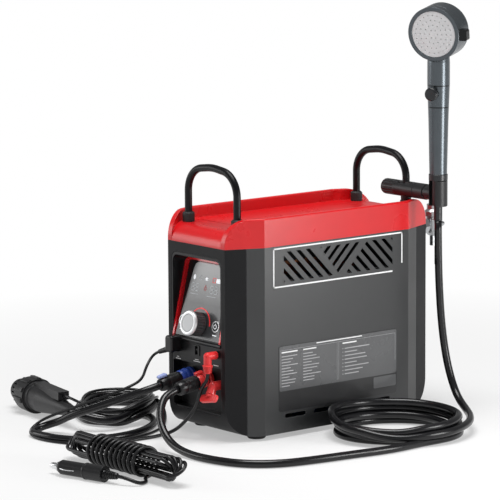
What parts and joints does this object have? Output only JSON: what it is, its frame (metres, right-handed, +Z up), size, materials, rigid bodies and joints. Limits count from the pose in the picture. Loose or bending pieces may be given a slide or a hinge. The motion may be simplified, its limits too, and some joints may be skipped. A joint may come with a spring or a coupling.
{
  "type": "portable gas water heater",
  "caption": "Portable tankless gas water heater with a carrying case, control panel, clamped shower handset, coiled hoses, submersible pump and a wound vehicle power lead.",
  "frame": {"origin": "on the plane the feet stand on, under the middle of the casing", "axes": "+Z up, +X towards the gas end, so the control end is -X; -Y is the vented side"},
  "size_m": [0.7228, 0.5947, 0.5923],
  "materials": {
    "casing": "fine matt dark grey paint",
    "red_cover": "glossy red moulding",
    "black_bar": "smooth black coat",
    "black_rubber": "soft black rubber",
    "fascia_black": "satin black moulding",
    "trim_red": "glossy red strip",
    "panel_grey": "satin grey plate",
    "board_green": "circuit board",
    "silver": "bright plated metal",
    "steel": "plain sheet steel",
    "copper": "drawn copper",
    "brass": "machined brass",
    "plug_black": "black moulding",
    "plug_red": "red moulding",
    "fitting_blue": "blue moulding",
    "fitting_red": "red moulding",
    "drain_red": "bright red moulding",
    "dark_red": "dark red moulding",
    "hose_black": "semi-gloss black hose",
    "cable_black": "semi-gloss black cable",
    "handset_black": "satin black moulding",
    "handset_grey": "satin grey moulding",
    "gas_black": "black coated metal",
    "cell_pack": "wrapped cell pack"
  },
  "bodies": {
    "heater": {"base_plate": "casing", "rubber_feet": "black_rubber", "casing_screws": "steel", "side_panel_near": "casing", "side_panel_far": "casing", "front_cover": "casing", "rear_cover": "casing", "top_cover": "red_cover", "handle_front": "black_bar", "handle_rear": "black_bar", "handle_grommets": "black_rubber", "front_fascia": "fascia_black", "fascia_trim": "trim_red", "control_panel": "panel_grey", "control_board": "board_green", "knob_encoder": "steel", "usb_port": "plug_black", "power_sockets": "plug_black", "pump_plug": "plug_black", "power_elbow": "plug_red", "inlet_fitting": "fitting_blue", "outlet_fitting": "fitting_red", "inlet_coupler": "plug_black", "shower_coupler": "plug_black", "drain_valve_body": "dark_red", "combustion_chamber": "steel", "burner": "steel", "heat_exchanger": "copper", "exhaust_duct": "steel", "gas_valve": "brass", "gas_pipe": "copper", "gas_regulator": "gas_black", "flow_sensor": "plug_black", "water_pipes": "copper", "igniter": "fascia_black", "battery_pack": "cell_pack", "clamp_body": "handset_black", "pump_body": "plug_black", "pump_strainer": "plug_black", "power_plug": "plug_black", "power_hank": "cable_black", "power_cable": "cable_black", "pump_cable": "cable_black", "inlet_hose": "hose_black", "inlet_hose_coil": "hose_black", "shower_hose": "hose_black", "shower_hose_coil": "hose_black"},
    "knob": {"temperature_knob": "fascia_black", "knob_cap": "silver"},
    "left_button": {"button_left": "panel_grey"},
    "right_button": {"button_right": "panel_grey"},
    "drain_tap": {"drain_knob": "drain_red"},
    "clamp_screw": {"clamp_knob": "handset_black"},
    "cradle": {"cradle": "handset_black"},
    "handset": {"handset_collar": "handset_black", "handset_grip": "handset_grey", "spray_head": "handset_black", "spray_plate": "handset_grey"},
    "lever_ring": {"spray_lever": "handset_black"},
    "water_stop": {"stop_button": "handset_black"}
  },
  "joints": [
    {"name": "temperature_turn", "type": "hinge", "parent": "heater", "child": "knob", "pos_m": [-0.18016, 0, 0.15795], "axis": [-0.9744, 0, 0.225], "range_deg": [-270, 0]},
    {"name": "left_button_press", "type": "slide", "parent": "heater", "child": "left_button", "axis": [0.9744, 0, -0.225], "range_m": [0, 0.0008], "stiffness_N_per_m": 400},
    {"name": "right_button_press", "type": "slide", "parent": "heater", "child": "right_button", "axis": [0.9744, 0, -0.225], "range_m": [0, 0.0008], "stiffness_N_per_m": 400},
    {"name": "drain_turn", "type": "hinge", "parent": "heater", "child": "drain_tap", "pos_m": [-0.189, -0.041, 0.078], "axis": [-0.5459, -0.1985, -0.814], "range_deg": [0, 180]},
    {"name": "clamp_turn", "type": "hinge", "parent": "heater", "child": "clamp_screw", "pos_m": [0.155, -0.026, 0.3225], "axis": [0, 1, 0], "range_deg": [0, 360]},
    {"name": "cradle_tilt", "type": "hinge", "parent": "heater", "child": "cradle", "pos_m": [0.155, -0.0987, 0.3225], "axis": [0, 1, 0], "range_deg": [-30, 30]},
    {"name": "handset_lift", "type": "slide", "parent": "cradle", "child": "handset", "axis": [0, 0, 1], "range_m": [0, 0.06]},
    {"name": "lever_turn", "type": "hinge", "parent": "handset", "child": "lever_ring", "pos_m": [0.16045, -0.11963, 0.55278], "axis": [-0.9092, -0.3953, -0.1305], "range_deg": [-22, 22]},
    {"name": "stop_press", "type": "slide", "parent": "handset", "child": "water_stop", "axis": [0.9171, 0.3987, 0], "range_m": [0, 0.005]}
  ]
}
